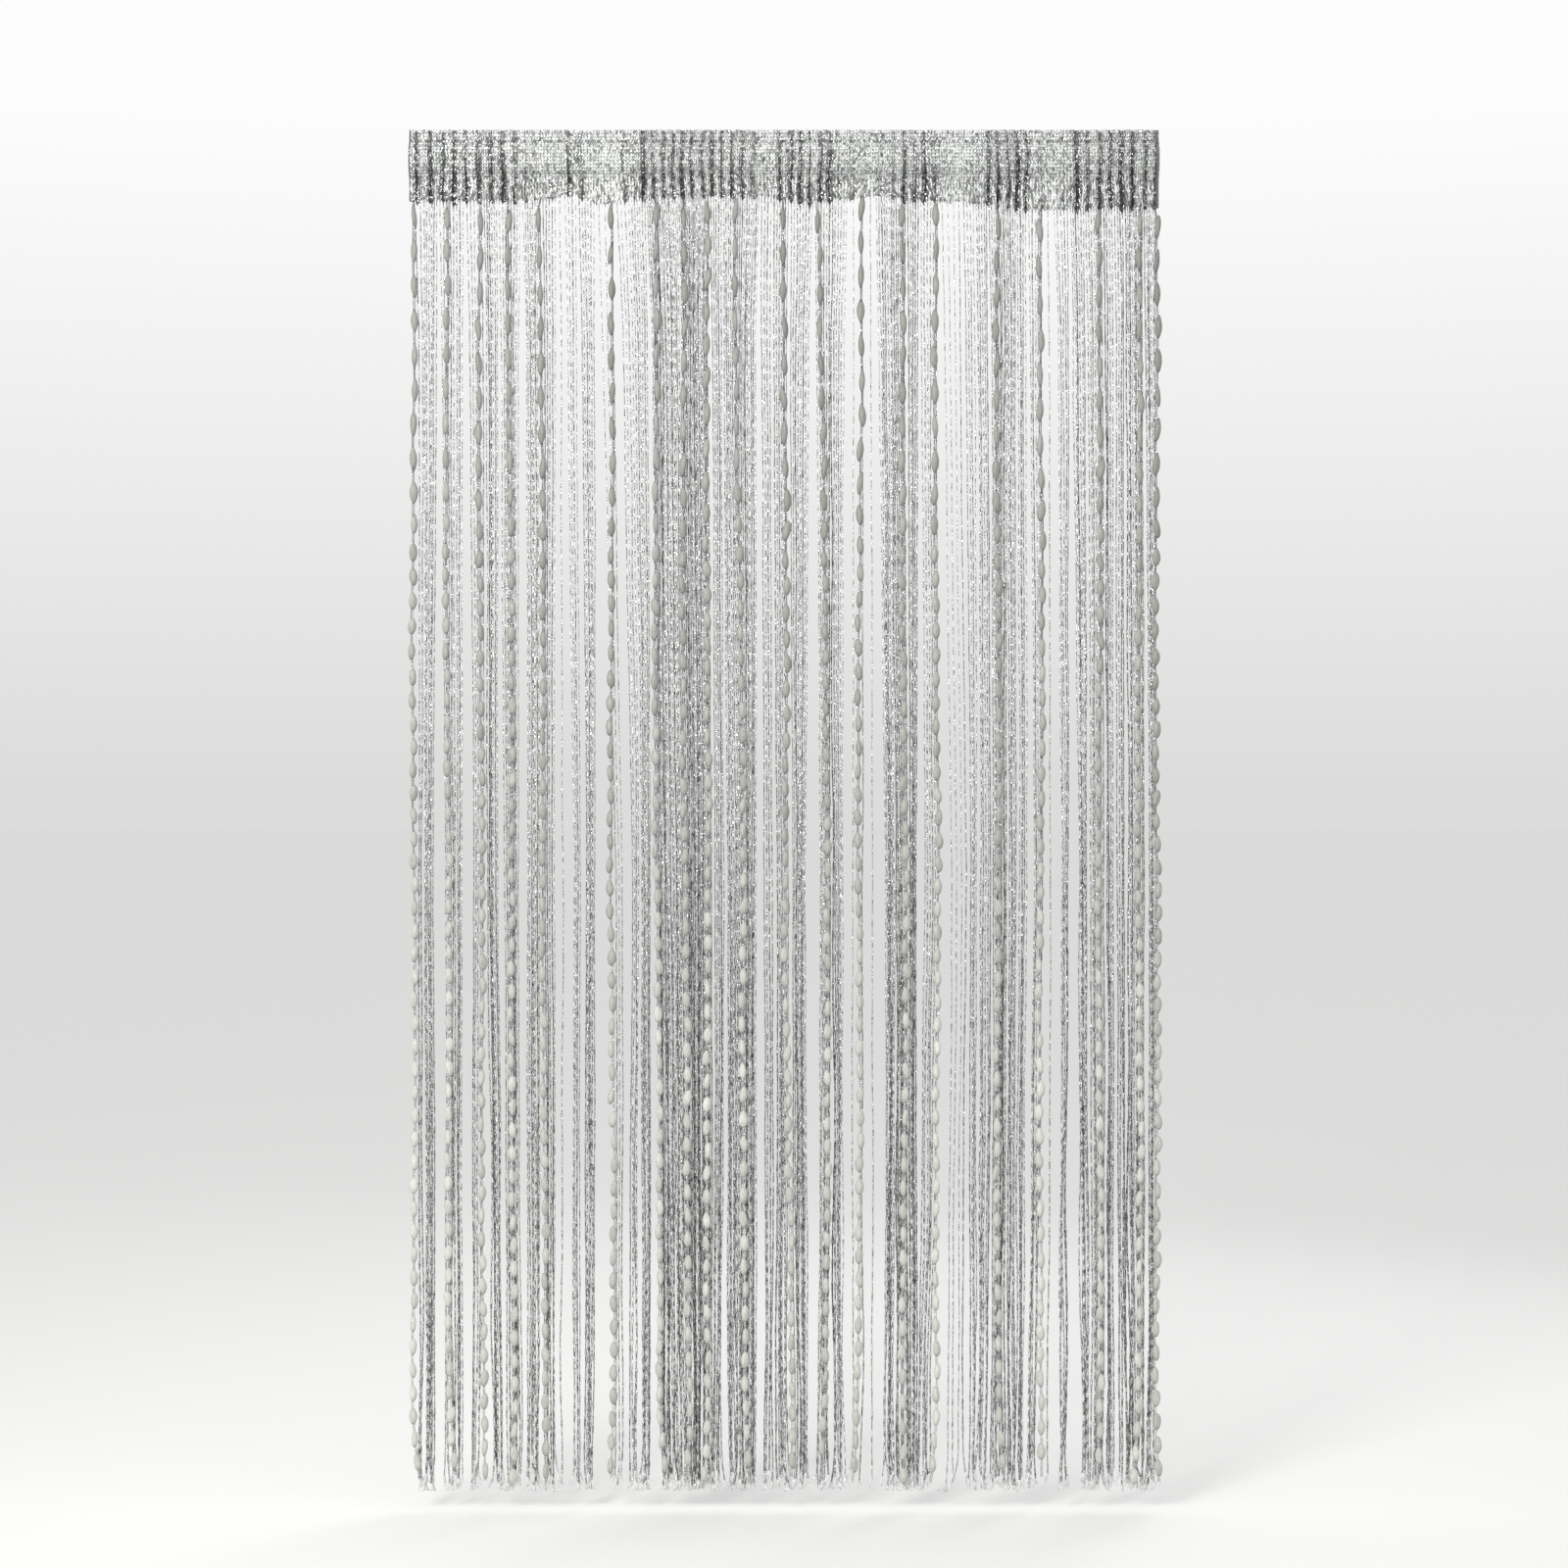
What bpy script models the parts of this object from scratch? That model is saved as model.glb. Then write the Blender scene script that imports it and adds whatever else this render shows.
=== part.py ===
"""String curtain with a rod pocket: a gathered knitted heading, plain strings and bead strings.

The top edge of the heading is at the origin, the front faces -Y and the strings hang down -Z.
Sizes and tables are in millimetres, and the meshes are in metres.
"""

from collections import namedtuple
from math import sin

import bpy
import numpy as np

MM = 0.001

# Whole curtain
HALF_WIDTH = 552.0
HEM_DROP = 1988.0
HEM_UNEVEN = 9.0

# Heading, from its top edge down
FRILL_DROP = 19.0
POCKET_DROP = 69.0
POCKET_SLOPE = 8.0
POCKET_HALF_DEPTH = 10.0
WALL = 2.0
BORDER_HALF = 1.5
INNER_TOP = 3.5
INNER_SLOPE = 6.0
FRILL_WAVE = 0.6
SEAM_WAVE = 0.45
BACK_BULGE = 0.7

# Strips that the strings grow from
EDGE_GAP = 0.4
EDGE_REACH = 3.0
STRIP_HEIGHT = 4.0
PLAIN_STRIP_HALF = 1.4
BEAD_STRIP_HALF = 1.2
BEAD_STRIP_STEP = 17.0

# Strings
STRAND_RADIUS = 1.2
STRAND_APART = 2.75
NECK = 5.0
NEAR_DROP = 290.0
BUNCH_DROP = 1100.0
ROW_STEP = 3.3
EVEN_SHARE = 0.2
BEAD_STRAND_HALF = 3.2
BEAD_NECK = 15.0
BEAD_FRONT = 10.5

# Folds of the heading, from left to right: where a section ends, its folds, their depth, its drop
Section = namedtuple("Section", "right folds depth drop")
SECTIONS = [
    Section(-391, 9, 6.4, 105),
    Section(-363, 2, 4.0, 104),
    Section(-329, 1, 2.4, 101),
    Section(-295, 2, 5.2, 94),
    Section(-243, 2, 2.2, 110),
    Section(-217, 2, 4.4, 101),
    Section(-58, 11, 6.6, 97),
    Section(-1, 3, 4.2, 97),
    Section(71, 5, 6.6, 108),
    Section(121, 3, 4.0, 100),
    Section(151, 1, 2.2, 97),
    Section(225, 5, 5.6, 104),
    Section(291, 2, 2.4, 105),
    Section(360, 5, 6.6, 114),
    Section(419, 2, 2.4, 117),
    Section(552, 8, 6.6, 115),
]

# Bunches of plain strings: centre and width a little below the heading, the same half way down,
# centre at the hem, strings, set-back
Bunch = namedtuple("Bunch", "near spread middle width hem strings back")
BUNCHES = [
    Bunch(-531, 4, -536, 5, -536, 2, 2),
    Bunch(-521, 19, -523, 13, -520, 6, 0),
    Bunch(-489, 32, -487, 27, -486, 8, 5),
    Bunch(-451, 23, -450, 18, -454, 5, 1),
    Bunch(-430, 17, -430, 17, -421, 6, 7),
    Bunch(-404, 25, -402, 22, -397, 8, 2),
    Bunch(-370, 13, -369, 20, -370, 7, 5),
    Bunch(-346, 20, -347, 20, -344, 6, 0),
    Bunch(-328, 3, -326, 2, -328, 1, 4),
    Bunch(-311, 14, -305, 12, -307, 4, 1),
    Bunch(-287, 17, -285, 14, -288, 6, 5),
    Bunch(-258, 20, -243, 12, -242, 3, 2),
    Bunch(-225, 17, -219, 12, -223, 4, 6),
    Bunch(-207, 19, -203, 14, -203, 6, 1),
    Bunch(-171, 38, -167, 42, -160, 15, 3),
    Bunch(-132, 36, -125, 39, -124, 16, 6),
    Bunch(-99, 13, -95, 15, -98, 5, 1),
    Bunch(-67, 46, -62, 44, -62, 16, 5),
    Bunch(-28, 13, -23, 15, -22, 4, 2),
    Bunch(-8, 20, -2, 18, -3, 6, 0),
    Bunch(21, 27, 22, 21, 25, 8, 6),
    Bunch(57, 19, 61, 16, 57, 6, 1),
    Bunch(76, 20, 79, 16, 81, 6, 5),
    Bunch(116, 36, 116, 44, 115, 3, 3),
    Bunch(150, 20, 156, 14, 155, 6, 0),
    Bunch(168, 20, 174, 18, 175, 7, 6),
    Bunch(191, 14, 190, 11, 190, 5, 2),
    Bunch(213, 22, 218, 22, 206, 6, 4),
    Bunch(250, 29, 258, 28, 252, 4, 1),
    Bunch(278, 16, 280, 11, 278, 4, 6),
    Bunch(295, 14, 298, 18, 292, 5, 2),
    Bunch(320, 23, 318, 20, 316, 8, 5),
    Bunch(337, 12, 337, 12, 334, 4, 0),
    Bunch(352, 13, 353, 14, 346, 4, 3),
    Bunch(372, 17, 376, 15, 364, 5, 6),
    Bunch(392, 2, 393, 2, 390, 1, 2),
    Bunch(415, 16, 414, 12, 411, 5, 1),
    Bunch(438, 19, 441, 13, 444, 6, 5),
    Bunch(461, 23, 462, 22, 463, 7, 2),
    Bunch(481, 13, 481, 10, 482, 4, 6),
    Bunch(497, 13, 496, 13, 501, 4, 1),
    Bunch(518, 23, 520, 26, 519, 9, 5),
    Bunch(540, 14, 544, 11, 541, 6, 0),
]

# Bead strings: where each hangs at the heading, half way down and at the hem
BeadString = namedtuple("BeadString", "top middle hem")
BEAD_STRINGS = [
    BeadString(-546, -544, -544),
    BeadString(-496, -493, -489),
    BeadString(-448, -446, -441),
    BeadString(-406, -402, -398),
    BeadString(-358, -353, -352),
    BeadString(-253, -253, -249),
    BeadString(-190, -188, -181),
    BeadString(-149, -147, -136),
    BeadString(-113, -113, -112),
    BeadString(-73, -61, -58),
    BeadString(0, 2, 11),
    BeadString(50, 66, 58),
    BeadString(113, 110, 110),
    BeadString(172, 178, 175),
    BeadString(222, 225, 224),
    BeadString(314, 315, 315),
    BeadString(378, 378, 376),
    BeadString(464, 464, 464),
    BeadString(523, 523, 523),
    BeadString(546, 547, 547),
]

# Fabrics
Fabric = namedtuple("Fabric", "colour roughness metallic")
KNIT = Fabric((0.42, 0.44, 0.44), 0.62, 0.15)
YARN = Fabric((0.45, 0.48, 0.48), 0.5, 0.25)
BEAD_CORD = Fabric((0.6, 0.61, 0.57), 0.55, 0.0)


def clear_scene():
    for old in list(bpy.data.objects):
        bpy.data.objects.remove(old, do_unlink=True)


def fabric(name, look):
    """A plain material with the fabric's colour, roughness and metallic value."""
    material = bpy.data.materials.new(name)
    material.use_nodes = True
    shader = material.node_tree.nodes["Principled BSDF"]
    shader.inputs["Base Color"].default_value = (*look.colour, 1)
    shader.inputs["Roughness"].default_value = look.roughness
    shader.inputs["Metallic"].default_value = look.metallic
    return material


def make_object(name, points, faces, look):
    """An object from points in millimetres, with its faces as given."""
    mesh = bpy.data.meshes.new(name)
    mesh.from_pydata([tuple(float(v) * MM for v in p) for p in points], [], faces)
    mesh.materials.append(fabric(name + "_fabric", look))
    made = bpy.data.objects.new(name, mesh)
    bpy.context.collection.objects.link(made)
    return made


def fold_columns():
    """The folds' crests and troughs from left to right: x, how far each stands back, and the drop there."""
    lefts = [-HALF_WIDTH] + [part.right for part in SECTIONS[:-1]]
    middles = [(left + part.right) / 2 for left, part in zip(lefts, SECTIONS)]
    drops = [part.drop for part in SECTIONS]
    columns, turn = [], 0
    for left, part in zip(lefts, SECTIONS):
        pitch = (part.right - left) / part.folds
        for fold in range(part.folds):
            for side, place in ((-1, 0.25), (1, 0.75)):
                turn += 1
                x = left + (fold + place + 0.1 * sin(2.3 * turn)) * pitch
                stand = side * part.depth / 2 * (0.8 + 0.2 * sin(1.7 * turn))
                columns.append((x, stand, np.interp(x, middles, drops) + sin(1.9 * turn)))
    first, last = columns[0], columns[-1]
    return np.array([(-HALF_WIDTH, 0, first[2]), *columns, (HALF_WIDTH, 0, last[2])])


FOLDS = fold_columns()


def stand_at(x):
    return np.interp(x, FOLDS[:, 0], FOLDS[:, 1])


def strip_low(x):
    """The height of a strip's underside at x, clear of the heading's edge on both sides of x."""
    beside = [np.interp(x + shift, FOLDS[:, 0], FOLDS[:, 2]) for shift in (-EDGE_REACH, 0, EDGE_REACH)]
    return -max(beside) - EDGE_GAP - STRIP_HEIGHT


def heading_section(stand, drop):
    """The heading's cut across the folds, as (y, z): the outside, then the pocket's hollow."""
    front = POCKET_HALF_DEPTH + max(0.0, -stand)
    back = POCKET_HALF_DEPTH + BACK_BULGE * max(0.0, stand)
    top, low = FRILL_DROP + POCKET_SLOPE, POCKET_DROP - POCKET_SLOPE
    outside = [
        (FRILL_WAVE * stand - BORDER_HALF, 0),
        (SEAM_WAVE * stand - BORDER_HALF, -FRILL_DROP),
        (-front - WALL, -top),
        (-front - WALL, -low),
        (stand - BORDER_HALF, -POCKET_DROP),
        (stand - BORDER_HALF, -drop),
        (stand + BORDER_HALF, -drop),
        (stand + BORDER_HALF, -POCKET_DROP),
        (back + WALL, -low),
        (back + WALL, -top),
        (SEAM_WAVE * stand + BORDER_HALF, -FRILL_DROP),
        (FRILL_WAVE * stand + BORDER_HALF, 0),
    ]
    inner_top, inner_low = FRILL_DROP + INNER_TOP, POCKET_DROP - INNER_TOP
    hollow = [
        (SEAM_WAVE * stand, -inner_top),
        (-front, -inner_top - INNER_SLOPE),
        (-front, -inner_low + INNER_SLOPE),
        (stand, -inner_low),
        (back, -inner_low + INNER_SLOPE),
        (back, -inner_top - INNER_SLOPE),
    ]
    return outside, hollow


def build_heading():
    """One gathered band whose pocket is a tunnel from end to end."""
    points, faces = [], []
    for x, stand, drop in FOLDS:
        outside, hollow = heading_section(stand, drop)
        points += [(x, y, z) for y, z in outside + hollow]
    skin, bore = len(outside), len(hollow)
    ring = skin + bore
    for column in range(len(FOLDS) - 1):
        here, there = column * ring, (column + 1) * ring
        for i in range(skin):
            j = (i + 1) % skin
            faces.append((here + i, here + j, there + j, there + i))
        for i in range(bore):
            j = (i + 1) % bore
            faces.append((there + skin + i, there + skin + j, here + skin + j, here + skin + i))
    # The end cut: outside corners 0 to 11, hollow corners 12 to 17
    end = [(0, 11, 10, 1), (1, 10, 12), (1, 12, 13, 2), (2, 13, 14, 3), (3, 14, 15, 4), (4, 15, 7),
           (4, 7, 6, 5), (7, 15, 16, 8), (8, 16, 17, 9), (9, 17, 12, 10)]
    far = (len(FOLDS) - 1) * ring
    faces += end
    faces += [tuple(far + i for i in reversed(face)) for face in end]
    return make_object("heading", points, faces, KNIT)


def push_apart(levels):
    """Moves the strands until they stand apart, also between the levels. The roots stay."""
    for _ in range(60):
        for upper, lower in ((0, 1), (1, 2), (2, 3)):
            for share in (0.2, 0.4, 0.6, 0.8, 1.0):
                place = (1 - share) * levels[upper] + share * levels[lower]
                away = place[:, None] - place[None]
                apart = np.linalg.norm(away, axis=2) + np.eye(len(place)) * HALF_WIDTH
                lack = np.clip(STRAND_APART - apart, 0, None) / apart / 2
                push = (away * lack[:, :, None]).sum(axis=1)
                levels[lower] += share * push
                if upper:
                    levels[upper] += (1 - share) * push
    return levels


def plain_levels():
    """Each plain string's (x, y) at the heading, a little below it, half way down and at the hem."""
    count = sum(b.strings for b in BUNCHES)
    edge = HALF_WIDTH - 3
    rights = [b.near + b.spread / 2 for b in BUNCHES]
    lefts = [b.near - b.spread / 2 for b in BUNCHES]
    bounds = [-edge, *[(r + l) / 2 for r, l in zip(rights, lefts[1:])], edge]
    top, near, middle, hem, back = [], [], [], [], []
    for number, bunch in enumerate(BUNCHES):
        place = (np.arange(bunch.strings) + 0.5) / bunch.strings
        top += list(bounds[number] + place * (bounds[number + 1] - bounds[number]))
        near += list(bunch.near + (place - 0.5) * bunch.spread)
        middle += list(bunch.middle + (place - 0.5) * bunch.width)
        hem += list(bunch.hem + (place - 0.5) * bunch.width * 0.94)
        back += [bunch.back] * bunch.strings
    even = -edge + (np.arange(count) + 0.5) / count * 2 * edge
    top = (1 - EVEN_SHARE) * np.array(top) + EVEN_SHARE * even
    for k in range(1, count):
        top[k] = max(top[k], top[k - 1] + STRAND_APART)
    top[-1] = min(top[-1], edge)
    for k in range(count - 2, -1, -1):
        top[k] = min(top[k], top[k + 1] - STRAND_APART)
    row = (np.arange(count) * 2 % 3 - 1) * ROW_STEP
    sway = np.sin(np.arange(count) * 2.1)
    return push_apart(np.array([
        np.column_stack([top, stand_at(top)]),
        np.column_stack([near, row + back]),
        np.column_stack([middle, row + back]),
        np.column_stack([np.array(hem) + sway, row + back + 0.5 * sway]),
    ]))


def strip_corners(x, y, half, low):
    """A strip's four corners at x: lower front, lower back, upper back, upper front."""
    high = low + STRIP_HEIGHT
    return [(x, y - half, low), (x, y + half, low), (x, y + half, high), (x, y - half, high)]


def build_plain_strings():
    """Strands of three sides, each from a corner of the strip's underside, tapered at its neck."""
    levels = plain_levels()
    roots = levels[0, :, 0]
    count = len(roots)
    cuts = [-HALF_WIDTH, *((roots[1:] + roots[:-1]) / 2), HALF_WIDTH]
    points, faces = [], []
    for x in cuts:
        points += strip_corners(x, stand_at(x), PLAIN_STRIP_HALF, strip_low(x))
    for k in range(count):
        here, there = 4 * k, 4 * k + 4
        for i in (1, 2, 3):
            j = (i + 1) % 4
            faces.append((here + i, here + j, there + j, there + i))
        faces.append((here + 1, there + 1, there))
    faces += [(3, 2, 1, 0), tuple(4 * count + i for i in (0, 1, 2, 3))]
    corners = [(-0.87, -0.5), (0.87, -0.5), (0, 1)]
    for k in range(count):
        neck = strip_low(roots[k]) - NECK
        end = -HEM_DROP + HEM_UNEVEN * sin(2.7 * k)
        ring = [4 * k, 4 * k + 4, 4 * k + 1]
        for (x, y), z in zip(levels[:, k], (neck, -NEAR_DROP, -BUNCH_DROP, end)):
            base = len(points)
            points += [(x + u * STRAND_RADIUS, y + v * STRAND_RADIUS, z) for u, v in corners]
            below = [base, base + 1, base + 2]
            for i in range(3):
                j = (i + 1) % 3
                faces.append((ring[i], below[i], below[j], ring[j]))
            ring = below
        faces.append(tuple(reversed(ring)))
    return make_object("plain_strings", points, faces, YARN)


def build_bead_strings():
    """Thicker strands of four sides on a straight strip in front of the heading's lower edge."""
    strip_y = -max(abs(FOLDS[:, 1])) - BORDER_HALF - EDGE_GAP - BEAD_STRIP_HALF
    cuts, rooted = [-HALF_WIDTH], []
    for string in BEAD_STRINGS:
        left, right = string.top - BEAD_STRAND_HALF, string.top + BEAD_STRAND_HALF
        plain = int((left - cuts[-1]) / BEAD_STRIP_STEP)
        cuts += list(np.linspace(cuts[-1], left, plain + 2)[1:])
        rooted.append(len(cuts) - 1)
        cuts.append(right)
    cuts.append(HALF_WIDTH)
    points, faces = [], []
    for x in cuts:
        points += strip_corners(x, strip_y, BEAD_STRIP_HALF, strip_low(x))
    for k in range(len(cuts) - 1):
        here, there = 4 * k, 4 * k + 4
        for i in (1, 2, 3) if k in rooted else (0, 1, 2, 3):
            j = (i + 1) % 4
            faces.append((here + i, here + j, there + j, there + i))
    last = 4 * (len(cuts) - 1)
    faces += [(3, 2, 1, 0), tuple(last + i for i in (0, 1, 2, 3))]
    corners = [(-1, -1), (1, -1), (1, 1), (-1, 1)]
    for k, string in zip(rooted, BEAD_STRINGS):
        neck = strip_low(string.top) - BEAD_NECK
        end = -HEM_DROP + HEM_UNEVEN * sin(1.3 * k)
        ring = [4 * k, 4 * k + 4, 4 * k + 5, 4 * k + 1]
        for x, z in ((string.top, neck), (string.middle, -BUNCH_DROP), (string.hem, end)):
            base = len(points)
            points += [(x + u * BEAD_STRAND_HALF, v * BEAD_STRAND_HALF - BEAD_FRONT, z) for u, v in corners]
            below = [base + i for i in range(4)]
            for i in range(4):
                j = (i + 1) % 4
                faces.append((ring[i], below[i], below[j], ring[j]))
            ring = below
        faces.append(tuple(reversed(ring)))
    return make_object("bead_strings", points, faces, BEAD_CORD)


clear_scene()
build_heading()
build_plain_strings()
build_bead_strings()
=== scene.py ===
"""Dressed model of the string curtain: knitted heading, twisted metallic strings and slub strings."""
from collections import namedtuple
from math import cos, pi, radians, sin

import bpy
import numpy as np
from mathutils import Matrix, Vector
from mathutils.geometry import tessellate_polygon


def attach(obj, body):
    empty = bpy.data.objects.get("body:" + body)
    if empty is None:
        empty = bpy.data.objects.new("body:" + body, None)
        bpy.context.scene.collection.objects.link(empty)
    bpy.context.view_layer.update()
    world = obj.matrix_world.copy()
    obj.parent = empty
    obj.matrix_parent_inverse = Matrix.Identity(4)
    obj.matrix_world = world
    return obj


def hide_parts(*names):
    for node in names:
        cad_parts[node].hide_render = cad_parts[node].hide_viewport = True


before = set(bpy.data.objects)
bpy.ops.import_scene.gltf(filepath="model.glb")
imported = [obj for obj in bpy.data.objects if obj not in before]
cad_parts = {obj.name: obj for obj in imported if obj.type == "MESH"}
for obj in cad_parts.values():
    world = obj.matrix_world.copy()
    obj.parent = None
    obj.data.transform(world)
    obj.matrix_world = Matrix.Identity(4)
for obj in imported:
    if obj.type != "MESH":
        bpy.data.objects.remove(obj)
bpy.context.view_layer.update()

MM = 0.001
chance = np.random.default_rng(41)

# Sizes in millimetres, as in the solids
HALF_WIDTH = 552.0
HEM_DROP = 1988.0
HEM_UNEVEN = 9.0
FRILL_DROP = 19.0
POCKET_DROP = 69.0
POCKET_SLOPE = 8.0
POCKET_HALF_DEPTH = 10.0
WALL = 2.0
BORDER_HALF = 1.5
INNER_TOP = 3.5
INNER_SLOPE = 6.0
SEAM_WAVE = 0.45
BACK_BULGE = 0.7
STRAND_APART = 2.75
NEAR_DROP = 290.0
BUNCH_DROP = 1100.0
ROW_STEP = 3.3
EVEN_SHARE = 0.2
BEAD_FRONT = 10.5

Section = namedtuple("Section", "right folds depth drop")
SECTIONS = [
    Section(-391, 9, 6.4, 105),
    Section(-363, 2, 4.0, 104),
    Section(-329, 1, 2.4, 101),
    Section(-295, 2, 5.2, 94),
    Section(-243, 2, 2.2, 110),
    Section(-217, 2, 4.4, 101),
    Section(-58, 11, 6.6, 97),
    Section(-1, 3, 4.2, 97),
    Section(71, 5, 6.6, 108),
    Section(121, 3, 4.0, 100),
    Section(151, 1, 2.2, 97),
    Section(225, 5, 5.6, 104),
    Section(291, 2, 2.4, 105),
    Section(360, 5, 6.6, 114),
    Section(419, 2, 2.4, 117),
    Section(552, 8, 6.6, 115),
]

Bunch = namedtuple("Bunch", "near spread middle width hem strings back")
BUNCHES = [
    Bunch(-531, 4, -536, 5, -536, 2, 2),
    Bunch(-521, 19, -523, 13, -520, 6, 0),
    Bunch(-489, 32, -487, 27, -486, 8, 5),
    Bunch(-451, 23, -450, 18, -454, 5, 1),
    Bunch(-430, 17, -430, 17, -421, 6, 7),
    Bunch(-404, 25, -402, 22, -397, 8, 2),
    Bunch(-370, 13, -369, 20, -370, 7, 5),
    Bunch(-346, 20, -347, 20, -344, 6, 0),
    Bunch(-328, 3, -326, 2, -328, 1, 4),
    Bunch(-311, 14, -305, 12, -307, 4, 1),
    Bunch(-287, 17, -285, 14, -288, 6, 5),
    Bunch(-258, 20, -243, 12, -242, 3, 2),
    Bunch(-225, 17, -219, 12, -223, 4, 6),
    Bunch(-207, 19, -203, 14, -203, 6, 1),
    Bunch(-171, 38, -167, 42, -160, 15, 3),
    Bunch(-132, 36, -125, 39, -124, 16, 6),
    Bunch(-99, 13, -95, 15, -98, 5, 1),
    Bunch(-67, 46, -62, 44, -62, 16, 5),
    Bunch(-28, 13, -23, 15, -22, 4, 2),
    Bunch(-8, 20, -2, 18, -3, 6, 0),
    Bunch(21, 27, 22, 21, 25, 8, 6),
    Bunch(57, 19, 61, 16, 57, 6, 1),
    Bunch(76, 20, 79, 16, 81, 6, 5),
    Bunch(116, 36, 116, 44, 115, 3, 3),
    Bunch(150, 20, 156, 14, 155, 6, 0),
    Bunch(168, 20, 174, 18, 175, 7, 6),
    Bunch(191, 14, 190, 11, 190, 5, 2),
    Bunch(213, 22, 218, 22, 206, 6, 4),
    Bunch(250, 29, 258, 28, 252, 4, 1),
    Bunch(278, 16, 280, 11, 278, 4, 6),
    Bunch(295, 14, 298, 18, 292, 5, 2),
    Bunch(320, 23, 318, 20, 316, 8, 5),
    Bunch(337, 12, 337, 12, 334, 4, 0),
    Bunch(352, 13, 353, 14, 346, 4, 3),
    Bunch(372, 17, 376, 15, 364, 5, 6),
    Bunch(392, 2, 393, 2, 390, 1, 2),
    Bunch(415, 16, 414, 12, 411, 5, 1),
    Bunch(438, 19, 441, 13, 444, 6, 5),
    Bunch(461, 23, 462, 22, 463, 7, 2),
    Bunch(481, 13, 481, 10, 482, 4, 6),
    Bunch(497, 13, 496, 13, 501, 4, 1),
    Bunch(518, 23, 520, 26, 519, 9, 5),
    Bunch(540, 14, 544, 11, 541, 6, 0),
]

BeadString = namedtuple("BeadString", "top middle hem")
BEAD_STRINGS = [
    BeadString(-546, -544, -544),
    BeadString(-496, -493, -489),
    BeadString(-448, -446, -441),
    BeadString(-406, -402, -398),
    BeadString(-358, -353, -352),
    BeadString(-253, -253, -249),
    BeadString(-190, -188, -181),
    BeadString(-149, -147, -136),
    BeadString(-113, -113, -112),
    BeadString(-73, -61, -58),
    BeadString(0, 2, 11),
    BeadString(50, 66, 58),
    BeadString(113, 110, 110),
    BeadString(172, 178, 175),
    BeadString(222, 225, 224),
    BeadString(314, 315, 315),
    BeadString(378, 378, 376),
    BeadString(464, 464, 464),
    BeadString(523, 523, 523),
    BeadString(546, 547, 547),
]

# The knitted heading, in millimetres where nothing else is said
HEADING_DROP = 100.0  # about the heading's height
WALE_APART = 1.6  # a wale closer than this to the one before is left out
WALE_WIDE = 5.8  # a gap wider than this gets a wale in its middle
RIDGE_SHARE = 0.75
VALLEY_POWER = 2.2  # above 1, the ridges are wide and the valleys narrow
SKIN_PARTS = [5, 4, 9, 4, 10, 1, 10, 4, 9, 4, 5, 1]  # rows on each side of the cut's outside
BORE_PARTS = [3, 6, 3, 3, 6, 3]  # rows on each side of the hollow
STITCH_RISE = 1.45  # in rows of the cloth, as are the next four
STITCH_LAP = 0.05
BORDER_LAP = 0.7
SEAM_ROW = 5.4
BORDER_ROW = 23.0
STITCH_RADIUS = 1.0
STITCH_JITTER = 0.22
STITCH_POINTS = 9  # three rings of three points
SPECKLE = 4.4  # width of a patch of like stitches
LAID_ROWS = np.array([0.3, 2.6, 9.4, 13.1, 17.0, 21.2, 24.6, 28.0, 31.0])
LAID_RADIUS = 0.5

# The strings, in millimetres. A pair of lists gives depths and the value at each.
EDGE_INSET = 3.0
NEAR_EVEN = 0.4
ROOT_LAP = 4.0
STRING_STEP = 16.0
STRING_WIDE = 1.4
STRING_THIN = 1.05
STRING_GIRTH = ([1000, 1750], [1.0, 1.4])
# Painted light: the strings' tone by depth, paler at the top and at the hem, darker below the middle
STRING_PAINTED_LIGHT = ([100, 800, 1300, 1900], [1.25, 1.16, 0.90, 1.08])
STRING_TAIL = 48
# Painted shadow: this share of the strings is made darker, as if shaded by its neighbours
SHADOWED_SHARE = 0.26  # of the strings
FRAY_PLIES = 4
FRAY_RADIUS = np.array([1.3, 1.25, 1.1, 0.5])
FRAY_BELOW = 16
CORD_STEP = 8.0
CORD_RADIUS = 0.75
CORD_APART = 1.1
# Painted light: the cords' tone by depth, dark at the top as if against light behind them, and paler lower
# down
CORD_PAINTED_LIGHT = ([400, 1000, 1500], [1.0, 1.9, 3.2])
CORD_TAIL = 130
SLUB_SIDES = 10
SLUB_RINGS = 9
SLUB_RADIUS = 5.7
SLUB_GIRTH = ([150, 600], [0.84, 1.0])
SLUB_POINT = ([450, 650], [0.68, 0.5])
SLUB_PITCH = ([470, 620, 960], [51.0, 38.0, 35.4])
SLUB_SHARE = 0.7  # of the pitch
# Painted light: the slubs' tone by depth, darker at the top as if against light behind them, and paler lower
# down
SLUB_PAINTED_LIGHT = ([200, 1000, 1400], [0.62, 0.92, 1.38])

# Stage, lights and camera, in metres where nothing else is said
FLOOR_SIDE = 60.0
FLOOR_BELOW = 45  # under the hem, in millimetres
HORIZON = (0.715, 0.715, 0.71, 1)
ZENITH = (0.98, 0.98, 0.98, 1)
HORIZON_BAND = 0.24
LIGHTS = (
    ("key", (-1.5, -2.7, 0.5), 1.2, 42, (1.0, 0.99, 0.97)),
    ("rim", (1.8, 2.2, 0.6), 1.4, 14, (1.0, 1.0, 1.0)),
)
LIGHT_SPREAD = 120  # degrees
AIM_SHARE = -0.45  # of the drop
PHOTO_SIDE = 1600  # pixels
TOP_PIXEL = 133  # row of the curtain's top edge in the photo
PIXEL = 1.444  # millimetres on the curtain
CAMERA_AWAY = 4.0
SENSOR = 36.0  # millimetres


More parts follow.
